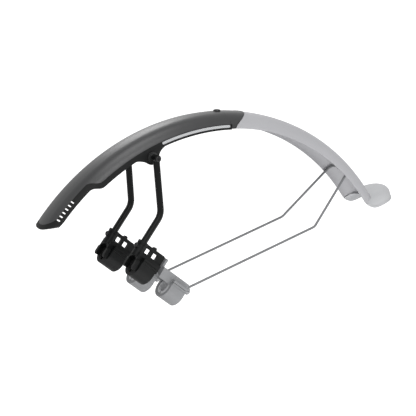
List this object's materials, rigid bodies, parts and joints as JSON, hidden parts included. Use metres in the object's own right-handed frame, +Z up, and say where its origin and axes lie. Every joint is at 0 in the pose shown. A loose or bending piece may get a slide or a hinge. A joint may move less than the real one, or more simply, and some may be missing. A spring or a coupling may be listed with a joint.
{
  "type": "bicycle rear mudguard",
  "caption": "Two-section rear bicycle mudguard: arched blade with edge rails, tail flap, struts, wire stay and strap clamps for the seat stays.",
  "frame": {"origin": "midway between the two upper clamps, on the axis of the seat stays", "axes": "+X to the rear of the bicycle, +Z up, -Y the rider's left; the axle is at x 150.4 mm, z -155 mm"},
  "size_m": [0.6447, 0.122, 0.2802],
  "materials": {
    "dark_blade": "satin moulded plastic, dark grey",
    "black_rail": "fine matt moulded plastic, black",
    "reflective": "glossy reflective strip, pale grey",
    "black_screw": "black coated steel",
    "pale_blade": "satin moulded plastic, pale grey",
    "pale_flap": "soft satin plastic, pale grey",
    "pale_bracket": "matt moulded plastic, pale grey",
    "pale_rivet": "plain aluminium rivets",
    "pale_wire": "drawn steel wire, pale grey",
    "black_strut": "satin black coating on metal",
    "black_spacer": "matt black plastic",
    "dark_clamp": "fine matt moulded plastic, black",
    "dark_liner": "soft black rubber",
    "dark_strap": "matt moulded plastic, black",
    "pale_clamp": "fine matt moulded plastic, pale grey",
    "pale_liner": "soft rubber, pale grey",
    "pale_strap": "matt moulded plastic, pale grey",
    "pale_screw": "pale grey coated steel"
  },
  "bodies": {
    "root": {"front_blade": "dark_blade", "left_side_rail": "black_rail", "right_side_rail": "black_rail", "left_reflective_strip": "reflective", "right_reflective_strip": "reflective", "joint_screw": "black_screw", "joint_nut": "black_screw", "rear_blade": "pale_blade", "tail_flap": "pale_flap", "stay_bracket": "pale_bracket", "bracket_rivets": "pale_rivet", "wire_stay": "pale_wire", "left_strut": "black_strut", "right_strut": "black_strut", "left_strut_spacer": "black_spacer", "right_strut_spacer": "black_spacer", "left_strut_bolt": "black_screw", "right_strut_bolt": "black_screw", "left_strut_nut": "black_screw", "right_strut_nut": "black_screw", "left_pinch_screw": "black_screw", "right_pinch_screw": "black_screw", "left_upper_clamp_body": "dark_clamp", "right_upper_clamp_body": "dark_clamp", "left_upper_clamp_liner": "dark_liner", "right_upper_clamp_liner": "dark_liner", "left_upper_clamp_strap": "dark_strap", "right_upper_clamp_strap": "dark_strap", "left_lower_clamp_body": "pale_clamp", "right_lower_clamp_body": "pale_clamp", "left_lower_clamp_liner": "pale_liner", "right_lower_clamp_liner": "pale_liner", "left_lower_clamp_strap": "pale_strap", "right_lower_clamp_strap": "pale_strap", "left_eye_screw": "pale_screw", "right_eye_screw": "pale_screw", "left_eye_nut": "pale_screw", "right_eye_nut": "pale_screw"}
  },
  "joints": []
}
